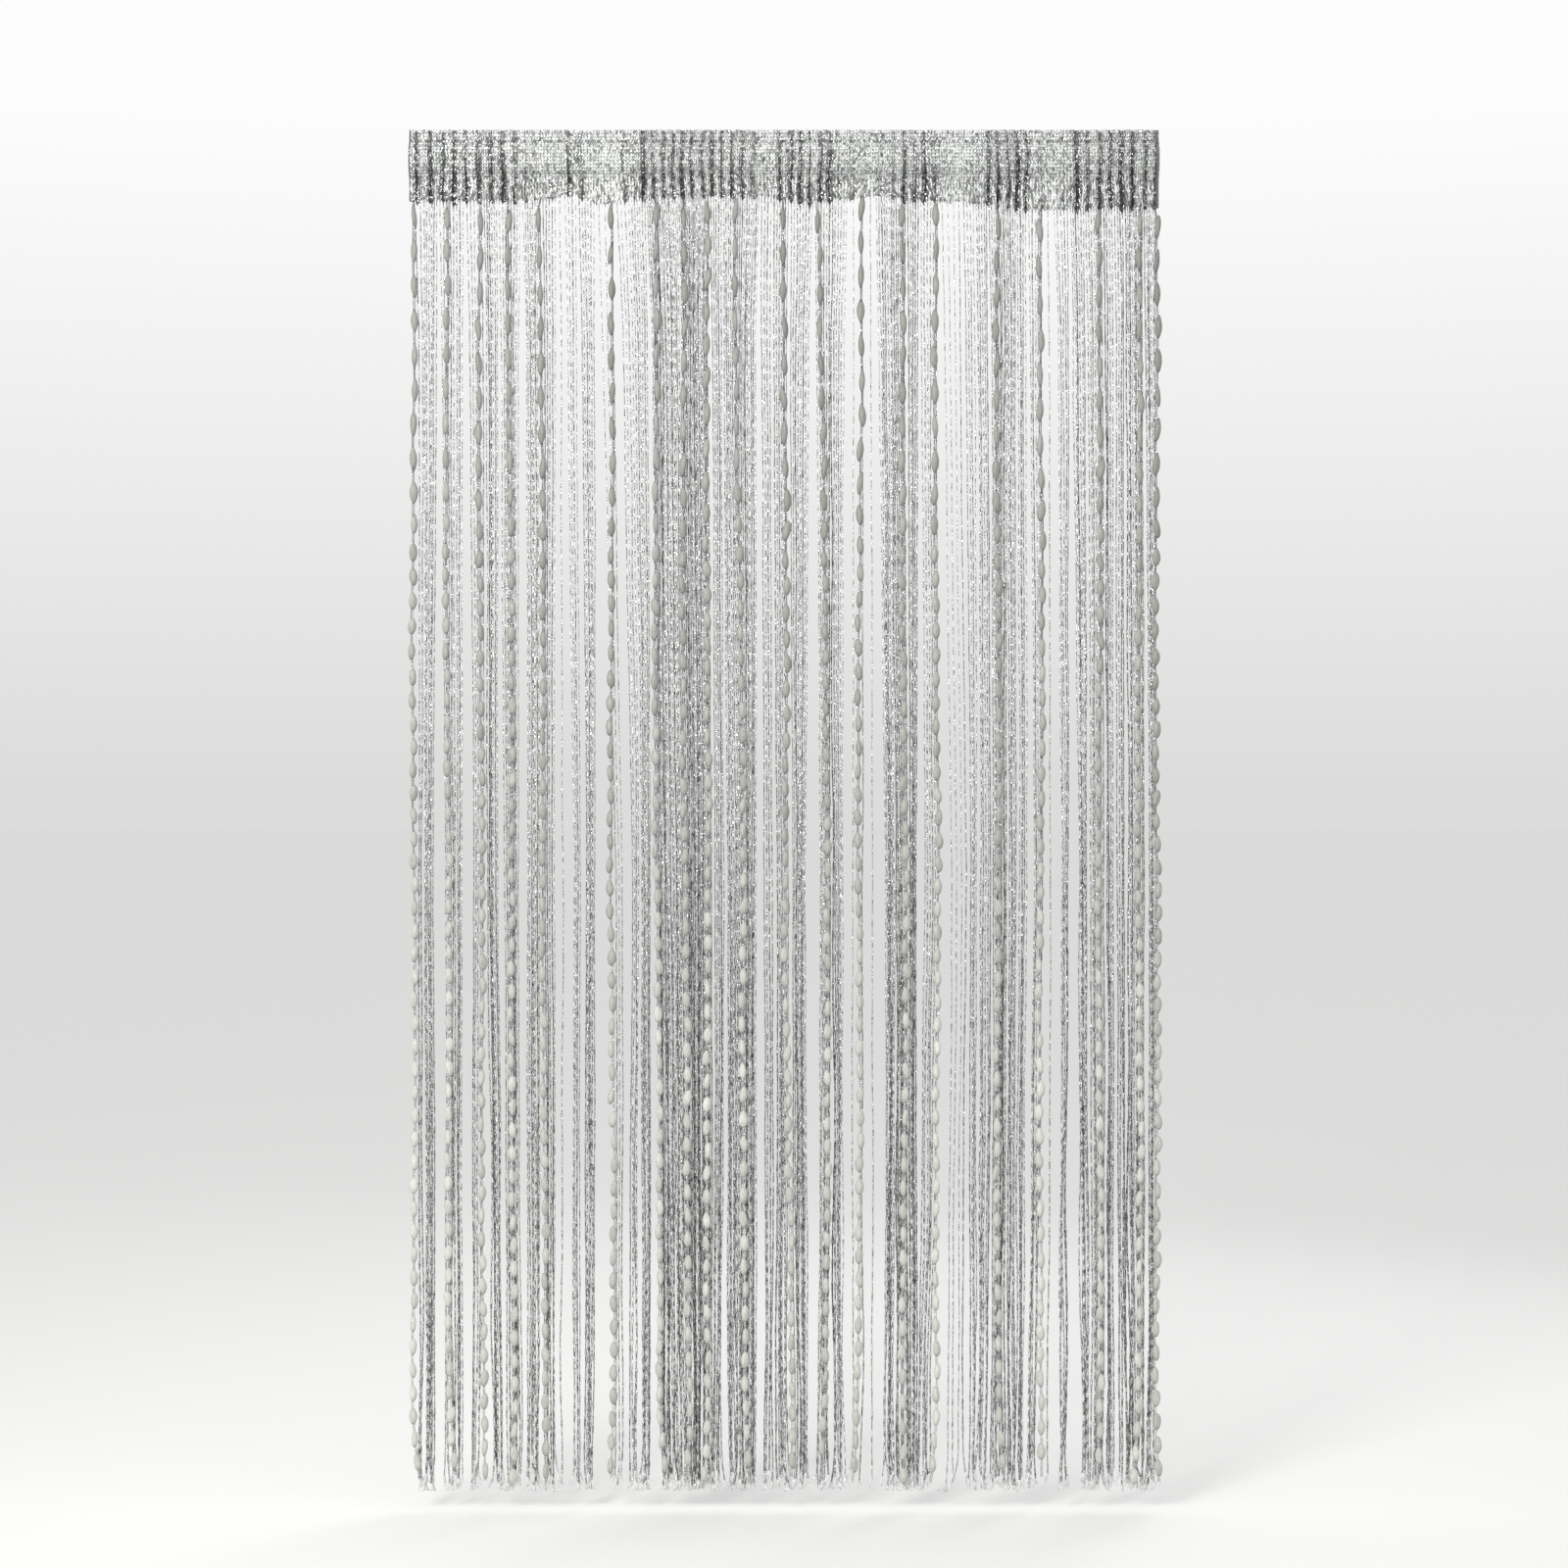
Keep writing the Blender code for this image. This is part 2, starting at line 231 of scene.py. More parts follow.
# Mesh helpers
def dressed(name, mesh, look, uv, values):
    """An object of a mesh, with its UVs per corner, its named point values and its material."""
    mesh.polygons.foreach_set("use_smooth", np.ones(len(mesh.polygons), bool))
    if uv is not None:
        layer = mesh.uv_layers.new(name="UVMap")
        layer.data.foreach_set("uv", np.asarray(uv, np.float32).ravel())
    for key, numbers in values.items():
        attribute = mesh.attributes.new(key, "FLOAT", "POINT")
        attribute.data.foreach_set("value", np.asarray(numbers, np.float32))
    mesh.materials.append(look)
    made = bpy.data.objects.new(name, mesh)
    bpy.context.scene.collection.objects.link(made)
    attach(made, "root")
    return made


def mesh_object(name, points, quads, look, uv=None, values=None):
    """An object from arrays: points in millimetres, quads, UVs per corner and named point values."""
    mesh = bpy.data.meshes.new(name)
    mesh.vertices.add(len(points))
    mesh.vertices.foreach_set("co", (np.asarray(points, np.float32) * MM).ravel())
    corners = np.asarray(quads, np.int32)
    mesh.loops.add(corners.size)
    mesh.loops.foreach_set("vertex_index", corners.ravel())
    mesh.polygons.add(len(corners))
    starts = np.arange(0, corners.size, corners.shape[1], dtype=np.int32)
    mesh.polygons.foreach_set("loop_start", starts)
    mesh.update(calc_edges=True)
    return dressed(name, mesh, look, uv, values or {})


def cloth_object(name, points, faces, look, uv, values):
    """A mesh of quads in which a face that names its last point twice is a triangle."""
    rows = [list(dict.fromkeys(map(int, face))) for part in faces for face in part]
    mesh = bpy.data.meshes.new(name)
    mesh.from_pydata((points * MM).tolist(), [], rows)
    used = np.array([k for row in rows for k in row])
    return dressed(name, mesh, look, uv[used], values)


def lengths_along(path):
    """The length of a path from its start to each of its points; the points are on the second axis."""
    steps = np.linalg.norm(np.diff(path, axis=1), axis=2)
    return np.concatenate([np.zeros((len(path), 1)), np.cumsum(steps, axis=1)], axis=1)


def ring_quads(index):
    """Quads between the rings of tubes, from the numbers of their points (tube, ring, side)."""
    here, there = index[:, :-1], index[:, 1:]
    corners = [here, there, np.roll(there, -1, 2), np.roll(here, -1, 2)]
    return np.stack(corners, axis=-1).reshape(-1, 4)


def tubes(paths, wide, thin, sides, turn):
    """Tubes along vertical paths (string, point, xyz): points, quads, UVs and the string of each point.

    wide and thin are the half sizes of the oval at each point, and turn is its rotation."""
    strings, rings, _ = paths.shape
    around = np.arange(sides) / sides * 2 * pi
    across = np.cos(around)[None, None] * wide[:, :, None]
    along = np.sin(around)[None, None] * thin[:, :, None]
    c, s = np.cos(turn)[:, :, None], np.sin(turn)[:, :, None]
    points = np.repeat(paths[:, :, None], sides, axis=2)
    points[..., 0] += across * c - along * s
    points[..., 1] += across * s + along * c
    quads = ring_quads(np.arange(strings * rings * sides).reshape(strings, rings, sides))
    travelled = lengths_along(paths) * MM
    u = np.broadcast_to(np.arange(sides) / sides, (strings, rings - 1, sides))
    v0 = np.broadcast_to(travelled[:, :-1, None], u.shape)
    v1 = np.broadcast_to(travelled[:, 1:, None], u.shape)
    step = 1 / sides
    uv = np.stack([
        np.stack([u, v0], -1), np.stack([u, v1], -1),
        np.stack([u + step, v1], -1), np.stack([u + step, v0], -1),
    ], axis=3).reshape(-1, 2)
    owner = np.repeat(np.arange(strings), rings * sides)
    return points.reshape(-1, 3), quads, uv, owner


def eased(x, xs, ys):
    """Interpolation that is level at each given point, so folds are round."""
    x = np.asarray(x, float)
    k = np.clip(np.searchsorted(xs, x) - 1, 0, len(xs) - 2)
    t = np.clip((x - xs[k]) / (xs[k + 1] - xs[k]), 0, 1)
    t = (1 - np.cos(pi * t)) / 2
    return ys[k] * (1 - t) + ys[k + 1] * t


# Folds and string paths, as in the solids
def fold_columns():
    """The folds' crests and troughs from left to right: x, how far each stands back, and the drop there."""
    lefts = [-HALF_WIDTH] + [part.right for part in SECTIONS[:-1]]
    middles = [(left + part.right) / 2 for left, part in zip(lefts, SECTIONS)]
    drops = [part.drop for part in SECTIONS]
    columns, turn = [], 0
    for left, part in zip(lefts, SECTIONS):
        pitch = (part.right - left) / part.folds
        for fold in range(part.folds):
            for side, place in ((-1, 0.25), (1, 0.75)):
                turn += 1
                x = left + (fold + place + 0.1 * sin(2.3 * turn)) * pitch
                stand = side * part.depth / 2 * (0.8 + 0.2 * sin(1.7 * turn))
                columns.append((x, stand, np.interp(x, middles, drops) + sin(1.9 * turn)))
    first, last = columns[0], columns[-1]
    return np.array([(-HALF_WIDTH, 0, first[2]), *columns, (HALF_WIDTH, 0, last[2])])


FOLDS = fold_columns()


def push_apart(levels):
    """Moves the strands until they stand apart, also between the levels. The roots stay."""
    for _ in range(60):
        for upper, lower in ((0, 1), (1, 2), (2, 3)):
            for share in (0.2, 0.4, 0.6, 0.8, 1.0):
                place = (1 - share) * levels[upper] + share * levels[lower]
                away = place[:, None] - place[None]
                apart = np.linalg.norm(away, axis=2) + np.eye(len(place)) * HALF_WIDTH
                lack = np.clip(STRAND_APART - apart, 0, None) / apart / 2
                push = (away * lack[:, :, None]).sum(axis=1)
                levels[lower] += share * push
                if upper:
                    levels[upper] += (1 - share) * push
    return levels


def plain_levels():
    """Each plain string's (x, y) at the heading, a little below it, half way down and at the hem."""
    count = sum(b.strings for b in BUNCHES)
    edge = HALF_WIDTH - EDGE_INSET
    rights = [b.near + b.spread / 2 for b in BUNCHES]
    lefts = [b.near - b.spread / 2 for b in BUNCHES]
    bounds = [-edge, *[(r + l) / 2 for r, l in zip(rights, lefts[1:])], edge]
    top, near, middle, hem, back = [], [], [], [], []
    for number, bunch in enumerate(BUNCHES):
        place = (np.arange(bunch.strings) + 0.5) / bunch.strings
        top += list(bounds[number] + place * (bounds[number + 1] - bounds[number]))
        near += list(bunch.near + (place - 0.5) * bunch.spread)
        middle += list(bunch.middle + (place - 0.5) * bunch.width)
        hem += list(bunch.hem + (place - 0.5) * bunch.width * 0.94)
        back += [bunch.back] * bunch.strings
    even = -edge + (np.arange(count) + 0.5) / count * 2 * edge
    top = (1 - EVEN_SHARE) * np.array(top) + EVEN_SHARE * even
    for k in range(1, count):
        top[k] = max(top[k], top[k - 1] + STRAND_APART)
    top[-1] = min(top[-1], edge)
    for k in range(count - 2, -1, -1):
        top[k] = min(top[k], top[k + 1] - STRAND_APART)
    near = (1 - NEAR_EVEN) * np.array(near) + NEAR_EVEN * top
    row = (np.arange(count) * 2 % 3 - 1) * ROW_STEP
    sway = np.sin(np.arange(count) * 2.1)
    return push_apart(np.array([
        np.column_stack([top, np.interp(top, FOLDS[:, 0], FOLDS[:, 1])]),
        np.column_stack([near, row + back]),
        np.column_stack([middle, row + back]),
        np.column_stack([np.array(hem) + sway, row + back + 0.5 * sway]),
    ]))


# Materials
def material(name, **sockets):
    """A new material, its nodes and its shader, with the given values on the shader's sockets."""
    made = bpy.data.materials.new(name)
    made.use_nodes = True
    shader = made.node_tree.nodes["Principled BSDF"]
    for key, value in sockets.items():
        shader.inputs[key.replace("_", " ")].default_value = value
    return made, made.node_tree, shader


def feed(tree, made, inputs):
    """Sets a node's inputs, given as values or as sockets to link."""
    for key, value in inputs.items():
        if isinstance(value, bpy.types.NodeSocket):
            tree.links.new(value, made.inputs[key])
        else:
            made.inputs[key].default_value = value


def node(tree, kind, inputs=None, **settings):
    """A node with its settings and its inputs."""
    made = tree.nodes.new(kind)
    for key, value in settings.items():
        setattr(made, key, value)
    feed(tree, made, inputs or {})
    return made


def math_node(tree, operation, a, b=0.0):
    """A sum, product or other operation on numbers."""
    return node(tree, "ShaderNodeMath", {0: a, 1: b}, operation=operation).outputs[0]


def ramp(tree, value, low, high, to_low=0.0, to_high=1.0):
    """A value moved from one range to another, and held within it."""
    ends = {"Value": value, "From Min": low, "From Max": high, "To Min": to_low, "To Max": to_high}
    return node(tree, "ShaderNodeMapRange", ends).outputs[0]


def mix(tree, share, a, b):
    """A colour between two."""
    made = tree.nodes.new("ShaderNodeMix")
    made.data_type = "RGBA"
    feed(tree, made, {0: share, 6: a, 7: b})
    return made.outputs[2]


def scaled(tree, colour, level):
    """A colour made paler or darker."""
    inputs = {0: colour, "Scale": level}
    return node(tree, "ShaderNodeVectorMath", inputs, operation="SCALE").outputs[0]


def place_of(tree):
    """Where a point is, in the curtain's frame."""
    return node(tree, "ShaderNodeTexCoord").outputs["Object"]


def uv_parts(tree):
    """The two UVs, as X and Y."""
    uv = node(tree, "ShaderNodeUVMap").outputs["UV"]
    return node(tree, "ShaderNodeSeparateXYZ", {"Vector": uv}).outputs


def point_value(tree, name):
    """A named value of the mesh's points."""
    return node(tree, "ShaderNodeAttribute", attribute_name=name).outputs["Fac"]


def noise(tree, where, scale, detail, roughness=0.5):
    """Noise at a place, from 0 to 1."""
    inputs = {"Vector": where, "Scale": scale, "Detail": detail, "Roughness": roughness}
    return node(tree, "ShaderNodeTexNoise", inputs).outputs["Fac"]


def flecks(tree, where, scale, start, full):
    """Scattered grains: those whose own number is above start show, and above full they show wholly."""
    cells = node(tree, "ShaderNodeTexVoronoi", {"Vector": where, "Scale": scale})
    number = node(tree, "ShaderNodeSeparateColor", {"Color": cells.outputs["Color"]}).outputs[0]
    return ramp(tree, number, start, full)


def add_bump(tree, shader, height, strength, distance):
    """Gives the shader a relief."""
    inputs = {"Height": height, "Strength": strength, "Distance": distance}
    tree.links.new(node(tree, "ShaderNodeBump", inputs).outputs[0], shader.inputs["Normal"])


def grey(value, warm=0.0):
    """A silver grey, faintly green, or towards straw."""
    return (value * (0.985 + warm), value * 1.008, value * (0.995 - warm), 1)


def yarn_material(name, shades, ply, plies, glitter, patches=None, grain=460.0):
    """Twisted yarn: plies from the UVs, a painted highlight on each ply's crest, uneven fibre colour, and
    flecks of metallic thread.

    shades are its dark, middle and light greys, ply is the length of a turn in millimetres, and glitter
    is the share of flecks. patches, for yarn with a tone at each point that holds painted light and shade,
    are the scale of uneven patches and their darkest and palest level."""
    dark, middle, light = shades
    made, tree, shader = material(name, Sheen_Weight=0.15, Sheen_Roughness=0.4)
    where, parts = place_of(tree), uv_parts(tree)
    lengths = math_node(tree, "MULTIPLY", parts["Y"], 1 / (ply * MM))
    turns = math_node(tree, "MULTIPLY", parts["X"], float(plies))
    phase = math_node(tree, "FRACT", math_node(tree, "ADD", lengths, turns))
    bulge = math_node(tree, "SINE", math_node(tree, "MULTIPLY", phase, pi))
    fibre = noise(tree, where, 430.0, 3.0, 0.7)
    fleck = flecks(tree, where, grain, 1 - glitter, 1 - glitter * 0.8)
    colour = mix(tree, ramp(tree, fibre, 0.34, 0.66), dark, middle)
    # Painted highlight: each ply's crest mixed towards the light grey
    crest = math_node(tree, "MULTIPLY", ramp(tree, bulge, 0.1, 0.9), 0.45)
    colour = mix(tree, crest, colour, light)
    if patches:
        scale, darkest, palest = patches
        uneven = ramp(tree, noise(tree, where, scale, 2.0), 0.3, 0.7, darkest, palest)
        # The point tone holds painted light and shade
        colour = scaled(tree, colour, math_node(tree, "MULTIPLY", point_value(tree, "tone"), uneven))
        limit = {0: colour, 1: (0.96, 0.97, 0.96)}
        colour = node(tree, "ShaderNodeVectorMath", limit, operation="MINIMUM").outputs[0]
    colour = mix(tree, fleck, colour, (0.93, 0.95, 0.95, 1))
    tree.links.new(colour, shader.inputs["Base Color"])
    tree.links.new(math_node(tree, "MULTIPLY", fleck, 0.85), shader.inputs["Metallic"])
    tree.links.new(ramp(tree, fleck, 0, 1, 0.58, 0.22), shader.inputs["Roughness"])
    relief = math_node(tree, "ADD", bulge, math_node(tree, "MULTIPLY", fibre, 0.6))
    add_bump(tree, shader, relief, 0.7, 0.0006)
    return made


def slub_material():
    """Soft roving: fibres along the slub, pale and slightly warm, with painted shade at its ends where it
    meets the cord, most at the lower end.
    """
    made, tree, shader = material("slub_roving", Roughness=0.55, Sheen_Weight=0.35, Sheen_Roughness=0.35)
    where = place_of(tree)
    drawn_out = {"Vector": where, "Scale": (900.0, 900.0, 60.0)}
    fibre = noise(tree, node(tree, "ShaderNodeMapping", drawn_out).outputs[0], 1.0, 3.0, 0.6)
    patch = noise(tree, where, 60.0, 1.0)
    # Painted shade at the slub's ends
    painted_end_shade = math_node(tree, "MULTIPLY", point_value(tree, "end_shade"), 0.7)
    colour = mix(tree, ramp(tree, fibre, 0.35, 0.65), (0.27, 0.275, 0.25, 1), (0.42, 0.425, 0.39, 1))
    colour = mix(tree, ramp(tree, patch, 0.35, 0.75, 0, 0.35), colour, (0.34, 0.355, 0.34, 1))
    colour = mix(tree, painted_end_shade, colour, (0.14, 0.15, 0.14, 1))
    # The point tone holds painted light by depth
    colour = scaled(tree, colour, point_value(tree, "tone"))
    tree.links.new(colour, shader.inputs["Base Color"])
    add_bump(tree, shader, fibre, 0.5, 0.0005)
    return made


def knit_material():
    """The cloth behind the loops, painted as light and shade: near black in the valleys and holes, painted
    shade, and paler where it lies flat, painted light that shows through the open knit.
    """
    made, tree, shader = material("heading_knit", Roughness=0.65, Sheen_Weight=0.2, Sheen_Roughness=0.4)
    where, parts = place_of(tree), uv_parts(tree)
    wale = math_node(tree, "MULTIPLY", parts["X"], 2 * pi / 0.0042)
    course = math_node(tree, "MULTIPLY", parts["Y"], 2 * pi / 0.0035)
    slant = math_node(tree, "SINE", math_node(tree, "ADD", wale, course))
    counter = math_node(tree, "SINE", math_node(tree, "SUBTRACT", wale, course))
    loops = math_node(tree, "MULTIPLY", slant, counter)
    fibre = noise(tree, where, 380.0, 3.0, 0.7)
    fleck = flecks(tree, where, 420.0, 0.86, 0.90)
    dark = point_value(tree, "dark")
    # Painted light: the open knit paler, as with light showing through it
    open_knit_backlit = mix(tree, ramp(tree, loops, -0.5, 0.5), (0.11, 0.12, 0.115, 1), (0.34, 0.36, 0.345, 1))
    # Painted shade: near black behind the loops in the valleys and holes
    hidden = ((0.006, 0.009, 0.009, 1), (0.022, 0.03, 0.029, 1))
    close_knit_shaded = mix(tree, ramp(tree, loops, -0.6, 0.6), *hidden)
    colour = mix(tree, dark, open_knit_backlit, close_knit_shaded)
    colour = mix(tree, ramp(tree, fibre, 0.52, 0.75, 0, 0.15), colour, (0.32, 0.35, 0.34, 1))
    # Painted glints: white flecks of the metallic thread, fewer where the painted shade is deep
    share = math_node(tree, "MULTIPLY", fleck, ramp(tree, dark, 0, 0.7, 0.7, 0.0))
    colour = mix(tree, share, colour, (0.92, 0.94, 0.93, 1))
    tree.links.new(colour, shader.inputs["Base Color"])
    add_bump(tree, shader, math_node(tree, "ADD", loops, fibre), 0.7, 0.0009)
    return made


STRING_YARN = yarn_material("string_yarn", (grey(0.11), grey(0.42), grey(0.76)), 5.0, 2, 0.25,
                            patches=(300.0, 0.24, 1.76), grain=480.0)
LOOP_YARN = yarn_material("loop_yarn", (grey(0.40), grey(0.76), grey(0.87)), 4.0, 2, 0.14,
                          patches=(150.0, 0.82, 1.1))
CORD_YARN = yarn_material("cord_yarn", (grey(0.05, 0.02), grey(0.12, 0.02), grey(0.24, 0.02)), 3.0, 1, 0.05,
                          patches=(260.0, 0.45, 1.45))
FRAY_YARN = yarn_material("fray_yarn", (grey(0.68), grey(0.88), grey(0.95)), 4.0, 1, 0.25)
SLUB = slub_material()
KNIT = knit_material()


# Heading
def heading_outline(stand, reach, drop):
    """The cut's outside and hollow for each column, as arrays (column, corner, yz).

    stand is how far the fold is behind the middle, and reach is its greatest stand."""
    front = POCKET_HALF_DEPTH + RIDGE_SHARE * (reach - stand)
    back = POCKET_HALF_DEPTH + BACK_BULGE * (reach + stand) / 2
    zero = np.zeros_like(stand)
    top, low = FRILL_DROP + POCKET_SLOPE, POCKET_DROP - POCKET_SLOPE
    outside = [
        (1.1 * stand - BORDER_HALF, zero),
        (SEAM_WAVE * stand - BORDER_HALF, zero - FRILL_DROP),
        (-front - WALL, zero - top),
        (-front - WALL, zero - low),
        (1.2 * stand - BORDER_HALF, zero - POCKET_DROP),
        (1.2 * stand - BORDER_HALF, -drop),
        (1.2 * stand + BORDER_HALF, -drop),
        (1.2 * stand + BORDER_HALF, zero - POCKET_DROP),
        (back + WALL, zero - low),
        (back + WALL, zero - top),
        (SEAM_WAVE * stand + BORDER_HALF, zero - FRILL_DROP),
        (1.1 * stand + BORDER_HALF, zero),
    ]
    inner_top, inner_low = FRILL_DROP + INNER_TOP + 1, POCKET_DROP - INNER_TOP - 1
    hollow = [
        (SEAM_WAVE * stand, zero - inner_top),
        (-front, zero - inner_top - INNER_SLOPE),
        (-front, zero - inner_low + INNER_SLOPE),
        (1.1 * stand, zero - inner_low),
        (back, zero - inner_low + INNER_SLOPE),
        (back, zero - inner_top - INNER_SLOPE),
    ]
    return [np.stack([np.stack(pair, -1) for pair in rows], axis=1) for rows in (outside, hollow)]


def divided(loop, counts, rounds):
    """A closed outline with its sides divided, then rounded; the ends of an undivided side stay put."""
    rows, held, number = [], [], 0
    for side, count in enumerate(counts):
        a, b = loop[:, side], loop[:, (side + 1) % loop.shape[1]]
        if count == 1:
            held += [number, number + 1]
        for i in range(count):
            rows.append(a + (b - a) * (i / count))
            number += 1
    fine = np.stack(rows, axis=1)
    hold = np.zeros((1, number, 1))
    hold[:, [k % number for k in held]] = 1.0
    for _ in range(rounds):
        softer = (np.roll(fine, 1, 1) + 2 * fine + np.roll(fine, -1, 1)) / 4
        fine = hold * fine + (1 - hold) * softer
    return fine


def grid_quads(columns, rows):
    """Quads of a grid (column, row), closed round its rows."""
    index = np.arange(columns * rows).reshape(columns, rows)
    here, there = index[:-1], index[1:]
    return np.stack([here, np.roll(here, -1, 1), np.roll(there, -1, 1), there], -1).reshape(-1, 4)


def fold_shape(x):
    """Stand, reach, drop and painted shade of the folds at x: wide ridges in front, narrow valleys with
    painted shade.
    """
    stand = eased(x, FOLDS[:, 0], FOLDS[:, 1])
    reach = np.interp(x, FOLDS[:, 0], np.convolve(np.abs(FOLDS[:, 1]), (0.25, 0.5, 0.25), "same"))
    reach = np.maximum(reach, 0.6)
    share = np.clip((stand / reach + 1) / 2, 0, 1)
    stand = reach * (2 * share ** VALLEY_POWER - 1)
    gathered = np.clip((reach - 1.0) / 1.2, 0, 1)
    drop = eased(x, FOLDS[:, 0], FOLDS[:, 2])
    drop = drop + gathered * (6.5 * share ** 6 * (0.6 + 0.4 * np.sin(x / 13)) - 2.5 * (1 - share) ** 2)
    # Painted shade: darker where the cloth is gathered and darkest in the valleys, a little uneven
    dark = 0.10 + gathered * (0.08 + 0.88 * share ** 2) + 0.10 * np.sin(x / 8.3) * np.sin(x / 31)
    return stand, reach, drop, np.clip(dark, 0, 1)


def placed(x, yz, drop):
    """Points of the heading from its cuts, with slow waves that die out at its top, edge and ends."""
    points = np.dstack([np.repeat(x[:, None], yz.shape[1], 1), yz])
    x = x[:, None]
    depth = -points[..., 2] / drop[:, None]
    calm = np.sin(pi * np.clip(depth, 0, 1)) * np.clip((HALF_WIDTH - np.abs(x)) / 30, 0, 1)
    points[..., 0] += calm * (2.6 * np.sin(x / 29) * np.sin(3.5 * depth + x / 40)
                              + 1.1 * np.sin(x / 9) * np.sin(5 * depth))
    points[..., 1] += calm * 0.8 * np.sin(x / 4.1) * np.sin(4 * depth + x / 17)
    return points


def end_faces(skin, bore, column, first_inner):
    """Triangles that close the cloth at one end, between its outside and its hollow."""
    outer, inner = list(range(skin.shape[1])), list(range(bore.shape[1]))[::-1]
    names = [column * skin.shape[1] + k for k in outer]
    names += [first_inner + column * bore.shape[1] + k for k in inner]
    flat = [[Vector((*part[column, k], 0)) for k in rows] for part, rows in ((skin, outer), (bore, inner))]
    flip = -1 if column else 1
    cut = [[names[i] for i in tri][::flip] for tri in tessellate_polygon(flat)]
    return np.array([(a, b, c, c) for a, b, c in cut])


def build_heading(wales):
    """The cloth, with a column on each wale and one between, so its edge is scalloped."""
    x = np.sort(np.concatenate([[-HALF_WIDTH, HALF_WIDTH], wales, (wales[1:] + wales[:-1]) / 2]))
    stand, reach, drop, dark = fold_shape(x)
    drop = drop + np.where(np.isin(x, wales), 1.6 + 1.3 * np.sin(x * 1.7), -1.5)
    outside, hollow = heading_outline(stand, reach, drop)
    skin, bore = divided(outside, SKIN_PARTS, 6), divided(hollow, BORE_PARTS, 1)
    skin_points, bore_points = placed(x, skin, drop), placed(x, bore, drop)
    arc = np.concatenate([[0], np.cumsum(np.hypot(np.diff(x), np.diff(stand)))])
    depth = -skin[..., 1]
    low = np.clip(depth / HEADING_DROP, 0, 1)
    seam = np.exp(-((depth - FRILL_DROP - 1) / 1.8) ** 2)
    faint = 1 + 0.35 * np.sin(x[:, None] / 14 + depth / 26) * np.sin(x[:, None] / 41)
    dashes = (0.5 + 0.5 * np.sin(x * 0.72))[:, None]
    # Painted shade in the fold valleys, deeper towards the lower edge and a little uneven, and the dark
    # dashes of the seam's stitching
    skin_shade_and_seam = dark[:, None] * (0.6 + 0.6 * low) * faint + 0.6 * seam * dashes
    points = np.concatenate([skin_points.reshape(-1, 3), bore_points.reshape(-1, 3)])
    first_inner = skin.shape[0] * skin.shape[1]
    faces = [grid_quads(len(x), skin.shape[1]),
             grid_quads(len(x), bore.shape[1])[:, ::-1] + first_inner,
             end_faces(skin, bore, 0, first_inner),
             end_faces(skin, bore, len(x) - 1, first_inner)]
    uv = np.concatenate([
        np.dstack([np.repeat(arc[:, None], part.shape[1], 1), lengths_along(part)]).reshape(-1, 2)
        for part in (skin, bore)
    ]) * MM
    # The hollow inside the pocket is painted dark: painted shade
    values = {"dark": np.concatenate([skin_shade_and_seam.ravel(), np.full(bore.shape[0] * bore.shape[1], 0.8)])}
    return cloth_object("heading_cloth", points, faces, KNIT, uv, values), skin_points, x, arc


def on_cloth(skin, columns, rows):
    """Points of the cloth at part columns and part rows."""
    c = np.clip(columns.astype(int), 0, skin.shape[0] - 2)
    r = np.clip(rows.astype(int), 0, skin.shape[1] - 2)
    s, t = (columns - c)[..., None], (rows - r)[..., None]
    near = skin[c, r] * (1 - t) + skin[c, r + 1] * t
    far = skin[c + 1, r] * (1 - t) + skin[c + 1, r + 1] * t
    return near * (1 - s) + far * s


def laid_yarn(paths, across, out, radius):
    """Yarns that lie on the cloth: each ring is two feet and a crest, so the hidden side stays open."""
    strings, rings, _ = paths.shape
    rise = out * radius[..., None] * 1.15
    foot = across * radius[..., None]
    points = np.stack([paths - foot, paths + rise, paths + foot], axis=2)
    index = np.arange(strings * rings * 3).reshape(strings, rings, 3)
    here, there = index[:, :-1], index[:, 1:]
    quads = np.stack([here[..., :2], here[..., 1:], there[..., 1:], there[..., :2]], -1).reshape(-1, 4)
    run = lengths_along(paths) * MM
    uv = np.stack([np.broadcast_to(np.array([0, 0.25, 0.5]), points.shape[:3]),
                   np.broadcast_to(run[..., None], points.shape[:3])], -1).reshape(-1, 2)
    return points.reshape(-1, 3), quads, uv[quads].reshape(-1, 2)


def unit(vectors):
    """The vectors, each brought to length one."""
    return vectors / np.linalg.norm(vectors, axis=-1, keepdims=True)


def darker_below(points):
    """The loops' tone at points of the cloth: paler above, darker towards the lower edge."""
    return 1.08 - 0.26 * np.clip(-points[..., 2] / HEADING_DROP, 0, 1)


def blotched(points):
    """Slow unevenness of the loops' tone."""
    x, z = points[..., 0], points[..., 2]
    return 1 + 0.14 * np.sin(x / 6.1 + 2 * np.sin(z / 9)) * np.sin(z / 7.3)


